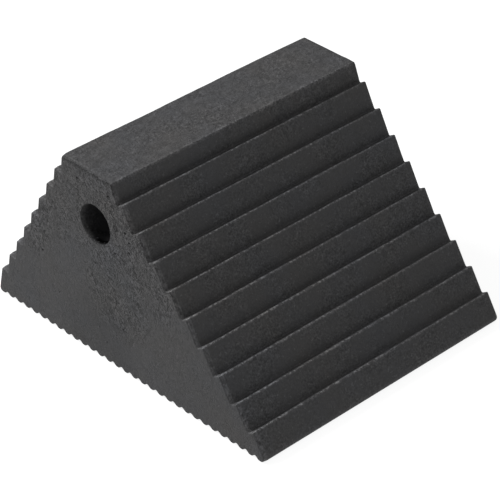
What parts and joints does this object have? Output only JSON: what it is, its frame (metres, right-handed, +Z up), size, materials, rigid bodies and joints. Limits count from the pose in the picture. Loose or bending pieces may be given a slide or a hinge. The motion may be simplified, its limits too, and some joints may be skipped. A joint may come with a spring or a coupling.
{
  "type": "wheel chock",
  "caption": "Solid moulded rubber wheel chock with a ribbed tyre slope, a steeper ribbed back, a flat top, a toothed base and a round bore right through it for a rope or rod.",
  "frame": {"origin": "on the ground, under the middle of the toothed base", "axes": "+X along the bore, -Y towards the tyre, +Y towards the steeper back slope, +Z up"},
  "size_m": [0.203, 0.2445, 0.135],
  "materials": {
    "rubber": "matt dark grey moulded recycled rubber, finely mottled, with small pits and rubbed rib lips"
  },
  "bodies": {
    "root": {"chock_body": "rubber"}
  },
  "joints": []
}
